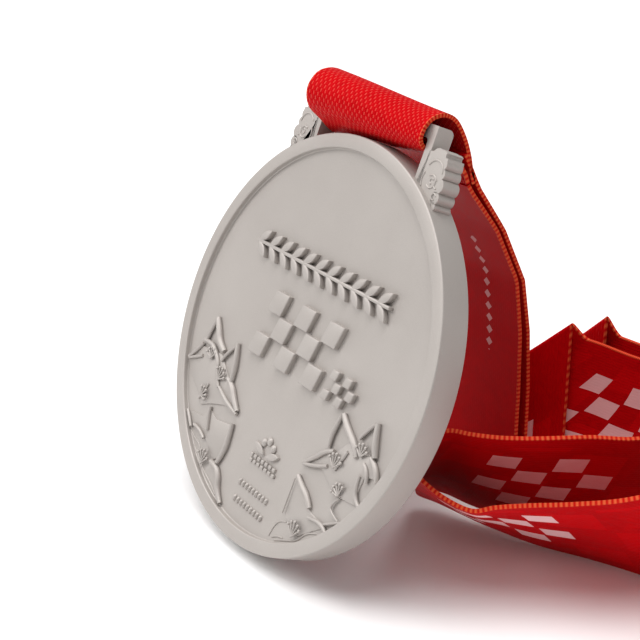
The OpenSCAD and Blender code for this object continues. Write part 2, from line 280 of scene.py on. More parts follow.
@dataclass(frozen=True)
class Satin:
    """Polyester satin, woven with fine ribs and firm edges, plain or with printed chequers."""

    name: str = "printed_satin"
    deep: tuple = (0.34, 0.0012, 0.003, 1)
    bright: tuple = (0.62, 0.0030, 0.006, 1)
    pale: tuple = (0.88, 0.58, 0.58, 1)
    edge: tuple = (0.70, 0.13, 0.045, 1)
    fleck: tuple = (0.9, 0.22, 0.16, 1)
    weave: float = 0.07
    rib_pitch: float = 0.62
    dash_pitch: float = 1.3
    edge_width: float = 0.26
    edge_pitch: float = 0.9
    printed: bool = True
    flecked: bool = False
    period: float = 46.0
    phase: float = 21.0
    cell: float = 4.8
    shade_cell: float = 9.0
    print_edge: float = 1.35
    print_slant: float = 0.3
    print_length: float = 24.0
    print_half: float = 9.6
    beads: tuple = ()
    bead_column: float = 9.0
    bead_pitch: float = 2.6

    def chequer(self, u: Sock, v: Sock, cell: float, slant: float = 0.0) -> Sock:
        """Chequer of cells a quarter longer than wide.

        Args:
            u: millimetres across.
            v: millimetres along.
            cell: width of a cell.
            slant: lean of the cells.

        Returns:
            1 inside every other cell, with a gap round it.
        """
        a = u / cell
        b = (v + u * slant) / (cell * 1.25)
        parity = (a.floor() + b.floor()) % 2.0 > 0.5
        inner = ((a % 1.0 - 0.5).absolute() < 0.44) * ((b % 1.0 - 0.5).absolute() < 0.45)
        return parity * inner

    def print_on(self, g: Graph, ground: Sock, u: Sock, v: Sock) -> Sock:
        """Prints tone-on-tone cells and groups of pale ones.

        Args:
            g: the tree.
            ground: colour of the cloth.
            u: millimetres across.
            v: millimetres along.

        Returns:
            The colour with its print.
        """
        off_centre = (u - HALF_WIDTH).absolute()
        shade = self.chequer(u, v, self.shade_cell, 0.35) * (off_centre < 13.0)
        ground = g.mix(shade * 0.55, ground, self.bright)
        across = u - self.print_edge
        along = (v + self.phase + across * self.print_slant) % self.period
        window = (along < self.print_length) * (off_centre < self.print_half)
        return g.mix(self.chequer(across, along, self.cell) * window * 0.93, ground, self.pale)

    def bead_line(self, g: Graph, ground: Sock, u: Sock, v: Sock) -> Sock:
        """Prints a faint line of lozenges between two places along the ribbon.

        Args:
            g: the tree.
            ground: colour of the cloth.
            u: millimetres across.
            v: millimetres along.

        Returns:
            The colour with its lozenges.
        """
        start, end = self.beads
        off = (v % self.bead_pitch - self.bead_pitch / 2).absolute()
        lozenge = ((u - self.bead_column).absolute() + off) < 0.95
        return g.mix(lozenge * ((v > start) * (v < end)) * 0.55, ground, self.pale)

    def make(self) -> bpy.types.Material:
        """Builds the material.

        Returns:
            The finished material.
        """
        g = Graph(self.name)
        u, v = g.cloth_place()
        place = g.object_place()
        rib = (u * (2 * math.pi / self.rib_pitch)).sine()
        dash = (v * (2 * math.pi / self.dash_pitch) + (u / self.rib_pitch).floor() * math.pi).sine()
        weave = rib * 0.5 + rib * dash * 0.5
        sheen = g.noise(place, 700.0, 2.0)
        cloud = g.noise(place, 60.0, 3.0)
        tone = (weave * self.weave + (sheen - 0.5) * 0.5 + (cloud - 0.5) * 0.5 + 0.5).clamp()
        ground = g.mix(tone, self.deep, self.bright)
        if self.printed:
            ground = self.print_on(g, ground, u, v)
        if self.beads:
            ground = self.bead_line(g, ground, u, v)
        selvedge = ((u - HALF_WIDTH).absolute() > HALF_WIDTH - self.edge_width) * 0.9
        stitch = (v * (2 * math.pi / self.edge_pitch)).sine() * 0.45 + 0.45
        ground = g.mix(selvedge * stitch.clamp(), ground, self.edge)
        if self.flecked:
            ground = g.mix((rib > 0.2) * (dash > 0.35) * 0.22, ground, self.fleck)
        g.set(
            Base_Color=ground,
            Roughness=((sheen - 0.5) * 0.2 + 0.47).clamp(),
            Specular_IOR_Level=0.03,
            Specular_Tint=(1, 0.08, 0.08, 1),
            Normal=g.add(
                "ShaderNodeBump", {}, {"Strength": 0.5, "Distance": self.weave * 0.0007, "Height": weave}
            ),
        )
        return g.material


@dataclass(frozen=True)
class SewingThread:
    """Twisted polyester thread."""

    colour: tuple = (0.66, 0.10, 0.07, 1)
    light: tuple = (0.80, 0.28, 0.18, 1)

    def make(self) -> bpy.types.Material:
        """Builds the material.

        Returns:
            The finished material.
        """
        g = Graph("sewing_thread")
        place = g.object_place()
        twist = g.add(
            "ShaderNodeTexWave",
            {"bands_direction": "DIAGONAL"},
            {"Vector": place, "Scale": 900.0, "Distortion": 1.0},
            1,
        )
        g.set(
            Base_Color=g.mix(twist, self.colour, self.light),
            Roughness=0.6,
            Normal=g.add("ShaderNodeBump", {}, {"Strength": 0.4, "Distance": 0.00005, "Height": twist}),
        )
        return g.material


@dataclass(frozen=True)
class FloorPaint:
    """Plain pale floor."""

    colour: tuple = (0.90, 0.90, 0.90, 1)

    def make(self) -> bpy.types.Material:
        """Builds the material.

        Returns:
            The finished material.
        """
        g = Graph("pale_floor")
        g.set(Base_Color=self.colour, Roughness=0.9)
        return g.material


# ------------------------------------------------------------------ bench


class Bench:
    """Operators for shaping one piece at a time, upright, in millimetres."""

    @staticmethod
    def clear() -> None:
        """Leaves nothing selected."""
        if bpy.context.object and bpy.context.object.mode != "OBJECT":
            bpy.ops.object.mode_set(mode="OBJECT")
        bpy.ops.object.select_all(action="DESELECT")

    @staticmethod
    def pick(obj: bpy.types.Object, *others: bpy.types.Object) -> None:
        """Selects objects, the first one active."""
        Bench.clear()
        for each in (obj, *others):
            each.select_set(True)
        bpy.context.view_layer.objects.active = obj

    @staticmethod
    def settle(obj: bpy.types.Object) -> None:
        """Moves an object's place into its mesh."""
        Bench.pick(obj)
        bpy.ops.object.transform_apply(location=True, rotation=True, scale=True)

    @staticmethod
    def drum(
        x: float, up: float, radius: float, back: float, front: float, sides: int = 48,
    ) -> bpy.types.Object:
        """Round slab with its axis along depth.

        Args:
            x: centre across.
            up: centre height.
            radius: radius.
            back: depth of its back face.
            front: depth of its front face.
            sides: number of sides.

        Returns:
            The object.
        """
        Bench.clear()
        bpy.ops.mesh.primitive_cylinder_add(
            vertices=sides,
            radius=radius * MM,
            depth=(back - front) * MM,
            location=(x * MM, (back + front) / 2 * MM, up * MM),
            rotation=(math.pi / 2, 0, 0),
        )
        obj = bpy.context.object
        Bench.settle(obj)
        return obj

    @staticmethod
    def block(low: Sequence[float], high: Sequence[float]) -> bpy.types.Object:
        """Rectangular block between two corners.

        Args:
            low: lowest corner: across, depth, height.
            high: highest corner.

        Returns:
            The object.
        """
        Bench.clear()
        bpy.ops.mesh.primitive_cube_add(
            size=1, location=[(a + b) / 2 * MM for a, b in zip(low, high)]
        )
        obj = bpy.context.object
        obj.scale = [(b - a) * MM for a, b in zip(low, high)]
        Bench.settle(obj)
        return obj

    @staticmethod
    def slab(outline: Sequence[Point2], back: float, front: float) -> bpy.types.Object:
        """Flat shape drawn out in depth.

        Args:
            outline: corners, across and height.
            back: depth of its back face.
            front: depth of its front face.

        Returns:
            The object.
        """
        Bench.clear()
        bpy.ops.mesh.primitive_circle_add(vertices=len(outline), radius=MM, fill_type="NGON")
        obj = bpy.context.object
        for vertex, (x, up) in zip(obj.data.vertices, outline):
            vertex.co = (x * MM, back * MM, up * MM)
        bpy.ops.object.mode_set(mode="EDIT")
        bpy.ops.mesh.select_all(action="SELECT")
        bpy.ops.mesh.extrude_region_move(TRANSFORM_OT_translate={"value": (0, (front - back) * MM, 0)})
        bpy.ops.mesh.select_all(action="SELECT")
        bpy.ops.mesh.normals_make_consistent(inside=False)
        bpy.ops.object.mode_set(mode="OBJECT")
        return obj

    @staticmethod
    def rod(points: Sequence[Sequence[float]]) -> bpy.types.Object:
        """Round rod that curves along points.

        Args:
            points: across, depth, height and radius of each point.

        Returns:
            The rod as a mesh.
        """
        data = bpy.data.curves.new("rod", "CURVE")
        data.dimensions = "3D"
        data.bevel_depth = MM
        data.bevel_resolution = 3
        data.use_fill_caps = True
        data.resolution_u = 5
        spline = data.splines.new("NURBS")
        spline.points.add(len(points) - 1)
        for place, (x, depth, up, radius) in zip(spline.points, points):
            place.co = (x * MM, depth * MM, up * MM, 1)
            place.radius = radius
        spline.order_u = 3
        spline.use_endpoint_u = True
        obj = bpy.data.objects.new("rod", data)
        bpy.context.scene.collection.objects.link(obj)
        Bench.pick(obj)
        bpy.ops.object.convert(target="MESH")
        return bpy.context.object

    @staticmethod
    def pebble(
        x: float, depth: float, up: float, sizes: Sequence[float], turn: float = 0.0, rings: int = 8,
    ) -> bpy.types.Object:
        """Rounded lump.

        Args:
            x: centre across.
            depth: centre depth.
            up: centre height.
            sizes: half sizes across, in depth and in height.
            turn: turn in the face plane in degrees.
            rings: rings of faces.

        Returns:
            The object.
        """
        Bench.clear()
        bpy.ops.mesh.primitive_uv_sphere_add(
            segments=rings * 2, ring_count=rings, radius=MM, location=(x * MM, depth * MM, up * MM)
        )
        obj = bpy.context.object
        obj.scale = sizes
        obj.rotation_euler = (0, -math.radians(turn), 0)
        Bench.settle(obj)
        return obj

    @staticmethod
    def bevel(obj: bpy.types.Object, width: float, segments: int = 3, angle: float = 35.0) -> None:
        """Rounds the sharp edges.

        Args:
            obj: the piece.
            width: width of the rounding in millimetres.
            segments: steps of the rounding.
            angle: sharpness in degrees past which an edge is rounded.
        """
        Bench.pick(obj)
        made = obj.modifiers.new("rounding", "BEVEL")
        made.width = width * MM
        made.segments = segments
        made.limit_method = "ANGLE"
        made.angle_limit = math.radians(angle)
        bpy.ops.object.modifier_apply(modifier=made.name)

    @staticmethod
    def fuse(first: bpy.types.Object, others: Iterable[bpy.types.Object], operation: str = "UNION") -> None:
        """Boolean of one piece with others, which are used up.

        Args:
            first: the piece that stays.
            others: the pieces that go into it.
            operation: UNION, DIFFERENCE or INTERSECT.
        """
        for other in others:
            Bench.pick(first)
            made = first.modifiers.new("fuse", "BOOLEAN")
            made.operation = operation
            made.object = other
            made.solver = "EXACT"
            bpy.ops.object.modifier_apply(modifier=made.name)
            bpy.data.objects.remove(other)

    @staticmethod
    def join(parts: Sequence[bpy.types.Object]) -> bpy.types.Object:
        """Puts several meshes into one object.

        Args:
            parts: the objects.

        Returns:
            The joined object.
        """
        Bench.pick(parts[0], *parts[1:])
        if len(parts) > 1:
            bpy.ops.object.join()
        return bpy.context.object

    @staticmethod
    def smooth(obj: bpy.types.Object, angle: float = 40.0) -> None:
        """Smooth shading except at sharp edges."""
        Bench.pick(obj)
        bpy.ops.object.shade_smooth_by_angle(angle=math.radians(angle))


@dataclass
class Workshop:
    """Hands finished pieces over to the frame."""

    metal: bpy.types.Material

    def deliver(
        self,
        obj: bpy.types.Object,
        name: str,
        body: Body,
        slot: Slot,
        material: bpy.types.Material,
        stands_for: Sequence[str] = (),
    ) -> bpy.types.Object:
        """Names, dresses and attaches a piece.

        Args:
            obj: the piece.
            name: its name.
            body: the body it rides on.
            slot: its material slot; not used.
            material: its material.
            stands_for: the CAD nodes it replaces.

        Returns:
            The piece.
        """
        obj.name = name
        obj.data.name = name
        obj.data.materials.clear()
        obj.data.materials.append(material)
        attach(obj, body.value)
        if stands_for:
            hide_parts(*stands_for)
        LOG.info("%s: %d faces", name, len(obj.data.polygons))
        return obj

    def cast(
        self, obj: bpy.types.Object, name: str, *stands_for: str, angle: float = 40.0,
    ) -> bpy.types.Object:
        """Leans an upright metal piece back into place and delivers it.

        Args:
            obj: the piece, drawn upright.
            name: its name.
            stands_for: the CAD nodes it replaces.
            angle: smoothing angle.

        Returns:
            The piece.
        """
        obj.matrix_world = UPRIGHT_TO_LEANING
        Bench.settle(obj)
        Bench.smooth(obj, angle)
        return self.deliver(obj, name, Body.MEDAL, Slot.METAL, self.metal, stands_for)


# ------------------------------------------------------------------ medal


@dataclass
class Disc:
    """Round casting with a raised rim and a ring groove in its back."""

    shop: Workshop
    rim_width: float = DISC_RADIUS - FIELD_RADIUS
    groove_width: float = 1.2
    groove_depth: float = 0.5
    sides: int = 256

    def build(self) -> None:
        """Turns the disc, sinks its field and cuts its groove."""
        disc = Bench.drum(0, 0, DISC_RADIUS, DISC_THICKNESS, 0, self.sides)
        self.face(disc, -1)
        bpy.ops.mesh.inset(thickness=self.rim_width * MM)
        bpy.ops.mesh.extrude_region_move(TRANSFORM_OT_translate={"value": (0, FIELD_DEPTH * MM, 0)})
        bpy.ops.object.mode_set(mode="OBJECT")
        self.face(disc, 1)
        bpy.ops.mesh.inset(thickness=self.rim_width * MM)
        bpy.ops.mesh.inset(thickness=self.groove_width * MM)
        bpy.ops.object.mode_set(mode="OBJECT")
        self.ring(disc)
        bpy.ops.mesh.extrude_region_move(TRANSFORM_OT_translate={"value": (0, -self.groove_depth * MM, 0)})
        bpy.ops.mesh.select_all(action="SELECT")
        bpy.ops.mesh.normals_make_consistent(inside=False)
        bpy.ops.object.mode_set(mode="OBJECT")
        Bench.bevel(disc, 0.28, 4, 50)
        self.shop.cast(disc, "rim_and_field", "medal_disc", "front_rim", angle=30)

    def face(self, disc: bpy.types.Object, side: int) -> None:
        """Selects the flat face towards one side in edit mode.

        Args:
            disc: the disc.
            side: -1 for the front and 1 for the back.
        """
        Bench.pick(disc)
        bpy.ops.object.mode_set(mode="EDIT")
        bpy.ops.mesh.select_mode(type="FACE")
        bpy.ops.mesh.select_all(action="DESELECT")
        bpy.ops.object.mode_set(mode="OBJECT")
        for face in disc.data.polygons:
            face.select = face.normal.y * side > 0.9 and len(face.vertices) > 8
        bpy.ops.object.mode_set(mode="EDIT")

    def ring(self, disc: bpy.types.Object) -> None:
        """Selects the ring on the back that becomes the groove, in edit mode.

        Args:
            disc: the disc.
        """
        middle = (FIELD_RADIUS - self.groove_width / 2) * MM
        Bench.pick(disc)
        for face in disc.data.polygons:
            far = math.hypot(face.center.x, face.center.z)
            face.select = face.normal.y > 0.9 and abs(far - middle) < 0.3 * MM and len(face.vertices) == 4
        bpy.ops.object.mode_set(mode="EDIT")


@dataclass
class CloudEar:
    """Upright tab with a scalloped cloud beside it."""

    shop: Workshop
    side: int
    name: str
    inner: float = 16.1
    post: float = 1.7
    top: float = 46.2
    front: float = 1.1
    back: float = 4.9
    lobes: tuple = (
        (20.1, 41.0, 1.75),
        (21.3, 41.0, 1.65),
        (22.15, 40.3, 1.0),
        (22.4, 38.65, 1.05),
        (22.7, 36.6, 1.35),
        (22.85, 34.5, 1.1),
        (22.9, 32.9, 0.8),
    )
    notches: tuple = (
        (22.55, 41.95, 0.5),
        (24.25, 39.55, 0.62),
        (24.2, 37.75, 0.45),
        (24.75, 35.45, 0.5),
        (24.35, 33.6, 0.5),
    )
    fill: tuple = (
        (16.5, 34), (17.6, 41.8), (20, 42.2), (22, 41), (22.5, 38), (22.5, 34), (22.9, 31), (17, 31),
    )
    cut: tuple = (8.0, -2.0)
    overlap: float = 0.2

    def curl(
        self, x: float, up: float, radius: float, start: float, sweep: float, thick: float,
    ) -> bpy.types.Object:
        """Raised line along part of a circle.

        Args:
            x: centre across.
            up: centre height.
            radius: radius.
            start: first angle in degrees.
            sweep: angle it covers.
            thick: half its width.

        Returns:
            The line.
        """
        steps = 9
        turns = [math.radians(start + sweep * i / (steps - 1)) for i in range(steps)]
        return Bench.rod(
            [(x + radius * math.cos(a), self.front, up + radius * math.sin(a), thick) for a in turns]
        )

    def cloud(self) -> bpy.types.Object:
        """Scalloped slab.

        Returns:
            The slab, fused from its lobes.
        """
        slab = Bench.slab(self.fill, self.back, self.front)
        drums = [Bench.drum(x, up, r, self.back, self.front, 40) for x, up, r in self.lobes]
        Bench.fuse(slab, drums)
        Bench.fuse(slab, [Bench.drum(x, up, r, *self.cut, 20) for x, up, r in self.notches], "DIFFERENCE")
        return slab

    def build(self) -> None:
        """Builds the tab, the cloud and its curls, and cuts them to the disc."""
        tab = Bench.block((self.inner, self.front, 32), (self.inner + self.post, self.back, self.top))
        self.round_back_corner(tab)
        Bench.fuse(tab, [self.cloud()])
        Bench.fuse(tab, [Bench.drum(0, 0, DISC_RADIUS - self.overlap, *self.cut, 256)], "DIFFERENCE")
        Bench.bevel(tab, 0.16, 3, 28)
        curls = [
            self.curl(20.6, 38.6, 2.1, 5, 150, 0.17),
            self.curl(20.6, 36.9, 1.2, -140, 270, 0.17),
            self.curl(20.75, 37.0, 0.5, 40, 230, 0.15),
            self.curl(22.5, 34.6, 0.6, 20, 290, 0.14),
            self.curl(20.4, 36.9, 2.4, 150, 60, 0.15),
            self.curl(22.3, 36.7, 0.75, 110, 170, 0.14),
        ]
        ear = Bench.join([tab, *curls])
        if self.side < 0:
            ear.scale = (-1, 1, 1)
            Bench.settle(ear)
            bpy.ops.object.mode_set(mode="EDIT")
            bpy.ops.mesh.select_all(action="SELECT")
            bpy.ops.mesh.normals_make_consistent(inside=False)
            bpy.ops.object.mode_set(mode="OBJECT")
        self.shop.cast(ear, f"cloud_ear_{self.name}", f"ear_{self.name}", f"ear_curls_{self.name}", angle=35)

    def round_back_corner(self, tab: bpy.types.Object) -> None:
        """Rounds the tab's top edge at the back.

        Args:
            tab: the upright block.
        """
        Bench.pick(tab)
        bpy.ops.object.mode_set(mode="EDIT")
        bpy.ops.mesh.select_mode(type="EDGE")
        bpy.ops.mesh.select_all(action="DESELECT")
        bpy.ops.object.mode_set(mode="OBJECT")
        corners = tab.data.vertices
        for edge in tab.data.edges:
            ends = [corners[i].co for i in edge.vertices]
            edge.select = all(c.y > self.back * MM * 0.99 and c.z > self.top * MM * 0.99 for c in ends)
        bpy.ops.object.mode_set(mode="EDIT")
        bpy.ops.mesh.bevel(offset=1.2 * MM, segments=6)
        bpy.ops.object.mode_set(mode="OBJECT")


@dataclass
class Relief:
    """Raised figures on the front field."""

    shop: Workshop
    field: float = FIELD_DEPTH

    def leaf_outline(self, x: float, up: float, length: float, width: float, turn: float) -> list[Point2]:
        """Outline of a pointed leaf.

        Args:
            x: middle across.
            up: middle height.
            length: length.
            width: width.
            turn: turn in degrees.

        Returns:
            The corners.
        """
        steps = 7
        upper = [
            (-length / 2 + length * i / steps, width / 2 * math.sin(math.pi * i / steps))
            for i in range(steps)
        ]
        lower = [(-a, -b) for a, b in upper]
        c, s = math.cos(math.radians(turn)), math.sin(math.radians(turn))
        return [(x + a * c - b * s, up + a * s + b * c) for a, b in upper + lower]

    def garland(self) -> None:
        """Row of leaves in pairs along a stem."""
        half, pairs, middle = 22.5, 11, 14.0
        pitch = 2 * half / pairs
        stem_low, stem_high = middle - 0.35, middle + 0.35
        stem = [(-half, stem_low), (half, stem_low), (half, stem_high), (-half, stem_high)]
        parts = [Bench.slab(stem, self.field + 0.2, 0)]
        for i in range(pairs):
            for side in (-1, 1):
                x = -half + (i + 0.55) * pitch
                outline = self.leaf_outline(x, middle + side * 1.35, 4.6, 1.7, side * 38)
                parts.append(Bench.slab(outline, self.field + 0.2, 0))
        for part in parts:
            Bench.bevel(part, 0.2, 2, 30)
        self.shop.cast(Bench.join(parts), "title_leaves", "title_garland")

    def chequer(
        self, name: str, node: str, x: float, up: float, cols: int, rows: int, wide: float, tall: float,
    ) -> None:
        """Slanted chequer of raised cells.

        Args:
            name: the piece's name.
            node: the CAD node it stands for.
            x: lower left corner across.
            up: lower left corner height.
            cols: cells across.
            rows: cells up.
            wide: width of a cell.
            tall: height of a cell.
        """
        slant, gap = 0.24, 0.05
        parts = []
        for c in range(cols):
            for r in range(rows):
                if (c + r) % 2:
                    continue
                left, low = x + c * wide + r * tall * slant, up + r * tall
                outline = [
                    (left + gap, low + gap),
                    (left + wide - gap, low + gap),
                    (left + wide + tall * slant - gap, low + tall - gap),
                    (left + tall * slant + gap, low + tall - gap),
                ]
                cell = Bench.slab(outline, self.field + 0.2, 0)
                Bench.bevel(cell, 0.22, 3, 30)
                parts.append(cell)
        self.shop.cast(Bench.join(parts), name, node)

    def ridge(self, points: Sequence[Point2], radius: float = 0.55, rise: float = 0.55) -> bpy.types.Object:
        """Rounded ridge along points on the field.

        Args:
            points: across and height.
            radius: half its width.
            rise: height of its centre above the field.

        Returns:
            The ridge.
        """
        last = len(points) - 1
        return Bench.rod(
            [
                (x, self.field - rise, up, radius * (0.75 if i in (0, last) else 1))
                for i, (x, up) in enumerate(points)
            ]
        )

    def petal(self, outline: Sequence[Point2], rise: float) -> bpy.types.Object:
        """Flat petal with rounded edges.

        Args:
            outline: its corners.
            rise: its height above the field.

        Returns:
            The petal.
        """
        slab = Bench.slab(outline, self.field + 0.2, self.field - rise)
        Bench.bevel(slab, 0.18, 2, 30)
        return slab

    def stamens(
        self, x: float, up: float, aim: float, spread: float, length: float, count: int = 5,
    ) -> list[bpy.types.Object]:
        """Fan of fine rods with a bead at each end.

        Args:
            x: root across.
            up: root height.
            aim: direction in degrees.
            spread: angle between rods.
            length: length of the middle rod.
            count: number of rods.

        Returns:
            The rods and beads.
        """
        parts = []
        for i in range(count):
            off = i - (count - 1) / 2
            a = math.radians(aim + off * spread)
            reach = length * (1 - 0.06 * abs(off))
            end = (x + reach * math.cos(a), up + reach * math.sin(a))
            parts.append(self.ridge([(x, up), ((x + end[0]) / 2, (up + end[1]) / 2), end], 0.2, 0.75))
            parts.append(Bench.pebble(end[0], self.field - 0.8, end[1], (0.34, 0.3, 0.34), 0, 6))
        return parts

    def flower(
        self,
        name: str,
        petals: Sequence[tuple[Sequence[Point2], float]],
        ridges: Sequence[tuple[Sequence[Point2], float]],
        fans: Sequence[tuple[float, float, float, float, float]],
    ) -> None:
        """Flower of flat petals, rolled edges and stamens.

        Args:
            name: the CAD node it stands for.
            petals: outlines and their heights.
            ridges: rolled edges and their half widths.
            fans: stamens: root, direction, spread and length.
        """
        parts = [self.petal(outline, rise) for outline, rise in petals]
        parts += [self.ridge(points, width, 0.45) for points, width in ridges]
        for fan in fans:
            parts += self.stamens(*fan)
        self.shop.cast(Bench.join(parts), f"{name}_relief", name)

    def flowers(self) -> None:
        """The four flowers in the lower part of the field."""
        self.flower(
            "flower_upper_left",
            [
                (
                    [
                        (-33.6, -15.4), (-30.4, -11.2), (-22.4, -10.4), (-16.5, -14.6), (-11, -18.4),
                        (-16, -19), (-20.5, -20.4), (-24.3, -22), (-27, -19.6), (-30, -18.2),
                    ],
                    0.3,
                )
            ],
            [
                ([(-28.9, -9.4), (-28.6, -6.6), (-27.4, -4.4)], 0.5),
                ([(-27.6, -4.3), (-25.8, -6.4), (-24.2, -8.6), (-21.6, -9.6)], 0.72),
                (
                    [
                        (-29.8, -9.8), (-27, -9.5), (-24.8, -10.4), (-22.4, -12.2), (-21.5, -14.6),
                        (-19.6, -16.6),
                    ],
                    0.5,
                ),
                ([(-33.4, -14.8), (-31.4, -12.8), (-29.8, -10.6)], 0.5),
                ([(-33.2, -15), (-30.8, -13.9), (-28.6, -12.9)], 0.4),
                ([(-18, -6.6), (-17, -9.2), (-16.2, -12), (-16.1, -14)], 0.66),
                ([(-18.3, -7.3), (-20.6, -9.4), (-21.6, -11.6)], 0.42),
                ([(-19.4, -16.4), (-16.6, -17.6), (-13.6, -18.4), (-10.8, -18.9)], 0.5),
                ([(-17.4, -13.8), (-15.2, -14.6), (-13.4, -16.6), (-11, -18.4)], 0.66),
                ([(-25.2, -21), (-24, -19.4), (-23.4, -17.2)], 0.3),
            ],
            [(-20.6, -15.2, 72, 24, 2.6), (-25.4, -12.4, 100, 26, 2.2), (-24.6, -20.2, 48, 26, 2.2)],
        )
        self.flower(
            "flower_lower_left",
            [
                (
                    [
                        (-27.6, -24.3), (-22, -23.6), (-20.6, -21.4), (-17, -22.4), (-11.4, -21.4),
                        (-10.9, -27.6), (-14, -30), (-19, -27.2), (-24.4, -26.8),
                    ],
                    0.22,
                )
            ],
            [
                ([(-20.2, -20.9), (-19.8, -23), (-18.7, -25.4)], 0.5),
                ([(-11.1, -21), (-10.8, -24), (-10.8, -26.8), (-11.9, -29.6)], 0.62),
                ([(-27.6, -24.4), (-26, -25.6), (-24.6, -27)], 0.42),
                ([(-23.8, -26.2), (-21.4, -26), (-19, -27.3)], 0.42),
                ([(-14, -30.2), (-11.6, -30.2), (-9.8, -32), (-9, -34.2), (-6.6, -36)], 0.6),
            ],
            [(-17, -32, 88, 22, 2.9)],
        )
        self.flower(
            "flower_upper_right",
            [
                (
                    [
                        (14, -18.6), (17.4, -15.2), (21, -13.6), (24, -10), (30.6, -10.4), (33.6, -13.4),
                        (30.4, -14.2), (30, -17.8), (31.8, -19.4), (26.3, -20), (24.6, -20.4),
                        (19, -17.6),
                    ],
                    0.3,
                )
            ],
            [
                ([(20, -6.6), (21.6, -8), (23.6, -9.2), (26, -10.6), (27, -12)], 0.66),
                ([(19.6, -7), (19, -9.4), (18.7, -11.6), (19, -13.4)], 0.5),
                ([(29.4, -4.6), (30, -6.8), (30.8, -8.8), (31.6, -10.2)], 0.66),
                ([(29, -4.9), (27.4, -6.6), (26.2, -8.8)], 0.42),
                ([(13.6, -18.6), (16.6, -16.4), (18.6, -14.2), (20.8, -13.4)], 0.5),
                ([(13.7, -18.7), (17, -18), (20.4, -16.4)], 0.45),
                ([(22.6, -16.2), (23.4, -14.2), (24.4, -12)], 0.4),
                ([(30.6, -10.6), (33, -11.4), (34, -13.8)], 0.6),
                ([(29.4, -12.2), (31, -12.8), (31.6, -14.8)], 0.5),
                ([(29.4, -14.4), (29.4, -16.6), (30.4, -18.6), (31.8, -19.2)], 0.45),
                ([(26.3, -20), (25, -21.5), (25, -23), (28, -23.7)], 0.22),
            ],
            [(22.2, -16, 90, 24, 2.6), (28, -11.4, 92, 26, 2.2), (26, -19.8, 125, 26, 2.2)],
        )
        self.flower(
            "flower_lower_right",
            [
                (
                    [
                        (13.2, -21.6), (18, -23.6), (20, -25.6), (25, -26.3), (22, -28.4), (18.6, -31),
                        (13.4, -29.4),
                    ],
                    0.2,
                )
            ],
            [
                ([(13.5, -21.2), (15.4, -22.4), (17.8, -23.4), (19.6, -25)], 0.6),
                ([(20, -26.6), (22.6, -26), (25, -26.2), (26.2, -27.2)], 0.42),
                ([(12.9, -22), (12.8, -25.5), (12.7, -29)], 0.16),
                ([(24.6, -25.8), (26.8, -24.6), (28.6, -23.6)], 0.3),
            ],
            [(17.6, -31.6, 92, 22, 2.9)],
        )

    def hills(self) -> None:
        """Faint outlines of hills along the bottom."""
        lines = [
            [
                (-25.6, -27.4), (-22.8, -28.6), (-20, -29), (-18.6, -31.4), (-16, -33), (-12.6, -34),
                (-9.6, -35.4),
            ],
            [(-23, -29.6), (-20.6, -30.6), (-19, -31.2)],
            [(10.6, -34.6), (11, -32.4), (12.4, -30.6), (14.2, -30.2)],
            [(12.6, -34.6), (15.4, -33.2), (18.6, -32), (20.4, -29.6), (22.6, -28.4), (24.8, -27.8)],
            [(14.6, -33.2), (13, -33.4), (11.6, -34.4)],
        ]
        parts = [self.ridge(line, 0.2, 0.0) for line in lines]
        self.shop.cast(Bench.join(parts), "hill_lines", "hill_relief")

    def sprig(self) -> None:
        """Three berries over leaves and a chequered base."""
        x, up, reach = 2.0, -21.6, 2.2
        parts = []
        for turn in (40, 90, 140):
            a = math.radians(turn)
            berry_x, berry_up = x + reach * math.cos(a), up + reach * math.sin(a)
            parts.append(Bench.pebble(berry_x, self.field - 0.15, berry_up, (0.85, 0.5, 0.85)))
        for side in (-1, 1):
            outline = self.leaf_outline(x + side * 2.4, up, 4.2, 1.5, side * 20)
            parts.append(self.petal(outline, 0.6))
        for row in range(2):
            for i in range(7):
                left = x - 4.6 + i * 1.34 + row * 0.25
                low = up - 2.3 - row * 1.05
                right, high = left + 1, low + 0.75
                parts.append(self.petal([(left, low), (right, low), (right, high), (left, high)], 0.5))
        self.shop.cast(Bench.join(parts), "berry_sprig", "sprig_emblem")

    def beads(self) -> None:
        """Two rows of beads under the sprig."""
        parts = []
        for row in range(2):
            for i in range(9):
                parts.append(
                    Bench.pebble(-3 + i * 1.2, self.field, -29.6 - row * 3.4, (0.5, 0.55, 0.72), -12, 6)
                )
        self.shop.cast(Bench.join(parts), "bead_line", "bead_rows")

    def build(self) -> None:
        """Builds every figure."""
        self.garland()
        self.chequer("centre_chequer", "centre_checks", -13.8, -6.4, 5, 3, 4.7, 4.5)
        self.chequer("small_chequer", "suffix_checks", 12.2, -6.4, 4, 3, 2.1, 2.0)
        self.flowers()
        self.hills()
        self.sprig()
        self.beads()


@dataclass
class CarriedMetal:
    """CAD nodes of the casting that keep their own shape."""

    shop: Workshop
    nodes: tuple = ("ribbon_bar",)

    def build(self) -> None:
        """Gives the carried nodes the metal finish."""
        for name in self.nodes:
            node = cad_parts[name]
            node.data.materials.clear()
            node.data.materials.append(self.shop.metal)
            LOG.info("%s: finish", name)


# ------------------------------------------------------------------ ribbon


def curve_at(points: np.ndarray, t: float) -> np.ndarray:
    """Smooth curve through points.

    Args:
        points: one row for each point.
        t: place along it, counting points.

    Returns:
        The point there.
    """
    n = len(points)
    i = min(max(int(math.floor(t)), 0), n - 2)
    f = t - i
    before = points[i - 1] if i > 0 else 2 * points[i] - points[i + 1]
    after = points[i + 2] if i + 2 < n else 2 * points[i + 1] - points[i]
    return (
        2 * points[i]
        + (points[i + 1] - before) * f
        + (2 * before - 5 * points[i] + 4 * points[i + 1] - after) * f**2
        + (3 * points[i] - 3 * points[i + 1] + after - before) * f**3
    ) / 2


